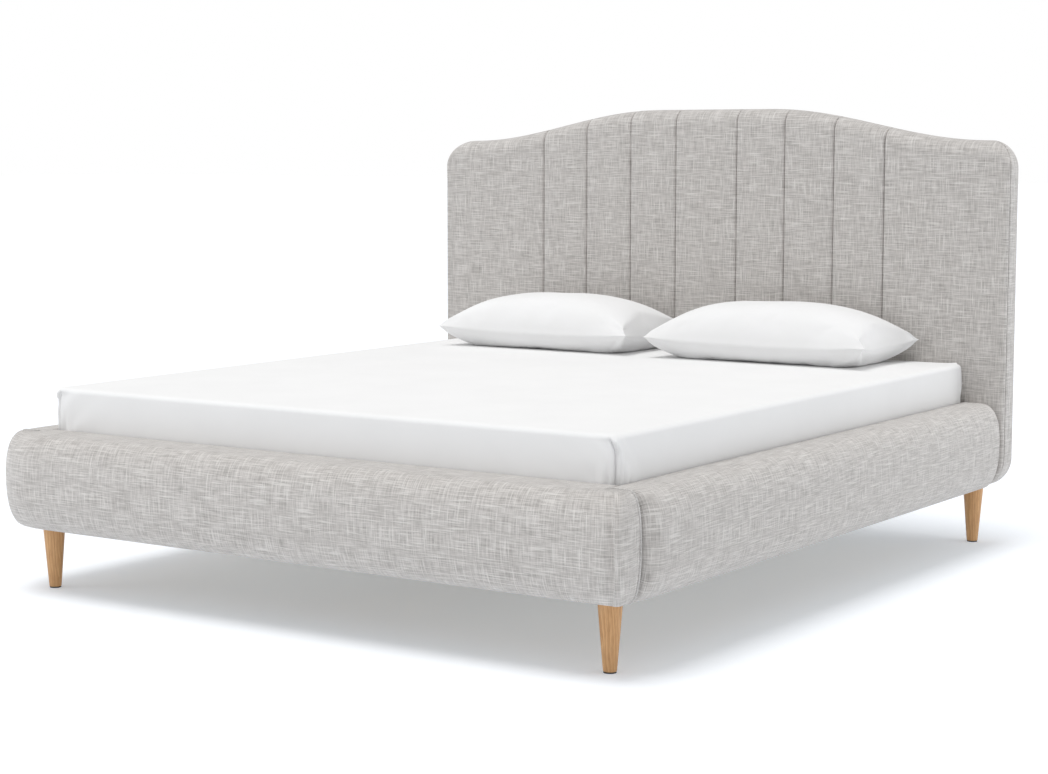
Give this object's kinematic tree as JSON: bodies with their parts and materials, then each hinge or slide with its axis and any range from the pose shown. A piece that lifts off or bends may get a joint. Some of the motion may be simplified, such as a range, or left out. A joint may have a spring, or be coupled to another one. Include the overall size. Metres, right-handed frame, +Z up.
{
  "type": "bed",
  "caption": "Upholstered double bed with a channelled camel-back headboard, padded rails, tapered wooden legs, sprung slats, sheeted mattress and pillows.",
  "frame": {"origin": "centre of the bed's footprint, on the floor", "axes": "+Z up, +Y from the foot rail towards the headboard, +X to the right of a person who stands at the foot and looks at the headboard"},
  "size_m": [2.06, 2.244, 1.322],
  "materials": {
    "linen": "matte",
    "piping": "matte",
    "back_cloth": "matte",
    "oak": "satin",
    "pine": "matte",
    "birch": "satin",
    "steel": "satin",
    "plastic": "matte",
    "ticking": "matte",
    "sheet_cotton": "matte",
    "pillow_cotton": "matte"
  },
  "bodies": {
    "frame": {"headboard_panel": "birch", "headboard_edge_frame": "pine", "headboard_post_left": "pine", "headboard_post_right": "pine", "headboard_battens": "pine", "headboard_back_cover": "back_cloth", "headboard_border": "linen", "headboard_welt": "piping", "headboard_pad_left": "linen", "headboard_pad_right": "linen", "channel_pad_1": "linen", "channel_pad_2": "linen", "channel_pad_3": "linen", "channel_pad_4": "linen", "channel_pad_5": "linen", "channel_pad_6": "linen", "channel_pad_7": "linen", "foot_rail_front_board": "pine", "foot_rail_back_board": "pine", "foot_rail_spacers": "pine", "foot_rail_pad": "linen", "corner_welts": "piping", "side_rail_board_left": "pine", "side_rail_board_right": "pine", "side_rail_pad_left": "linen", "side_rail_pad_right": "linen", "corner_block_left": "pine", "corner_block_right": "pine", "corner_block_bolts": "steel", "head_bracket_left": "steel", "head_bracket_right": "steel", "head_bracket_bolts": "steel", "slat_ledger_left": "pine", "slat_ledger_right": "pine", "ledger_screws": "steel", "leg_front_left": "oak", "leg_front_right": "oak", "leg_rear_left": "oak", "leg_rear_right": "oak", "leg_bolts": "steel", "leg_glides": "plastic", "centre_beam": "pine", "beam_brackets": "steel", "beam_bracket_screws": "steel", "centre_leg_front": "oak", "centre_leg_rear": "oak", "centre_leg_plates": "steel", "slats_left": "birch", "slats_right": "birch", "slat_holders_left": "plastic", "slat_holders_right": "plastic", "slat_holders_centre": "plastic"},
    "mattress": {"mattress": "ticking", "fitted_sheet": "sheet_cotton"},
    "pillow_left": {"pillow_left": "pillow_cotton"},
    "pillow_right": {"pillow_right": "pillow_cotton"},
    "centre_foot_front": {"centre_foot_front": "plastic"},
    "centre_foot_rear": {"centre_foot_rear": "plastic"}
  },
  "joints": [
    {"name": "mattress_lift", "type": "slide", "parent": "frame", "child": "mattress", "axis": [0, 0, 1], "range_m": [0, 0.6]},
    {"name": "pillow_left_lift", "type": "slide", "parent": "mattress", "child": "pillow_left", "axis": [0, 0, 1], "range_m": [0, 0.4]},
    {"name": "pillow_right_lift", "type": "slide", "parent": "mattress", "child": "pillow_right", "axis": [0, 0, 1], "range_m": [0, 0.4]},
    {"name": "centre_foot_front_screw", "type": "slide", "parent": "frame", "child": "centre_foot_front", "axis": [0, 0, -1], "range_m": [0, 0.02]},
    {"name": "centre_foot_rear_screw", "type": "slide", "parent": "frame", "child": "centre_foot_rear", "axis": [0, 0, -1], "range_m": [0, 0.02]}
  ]
}
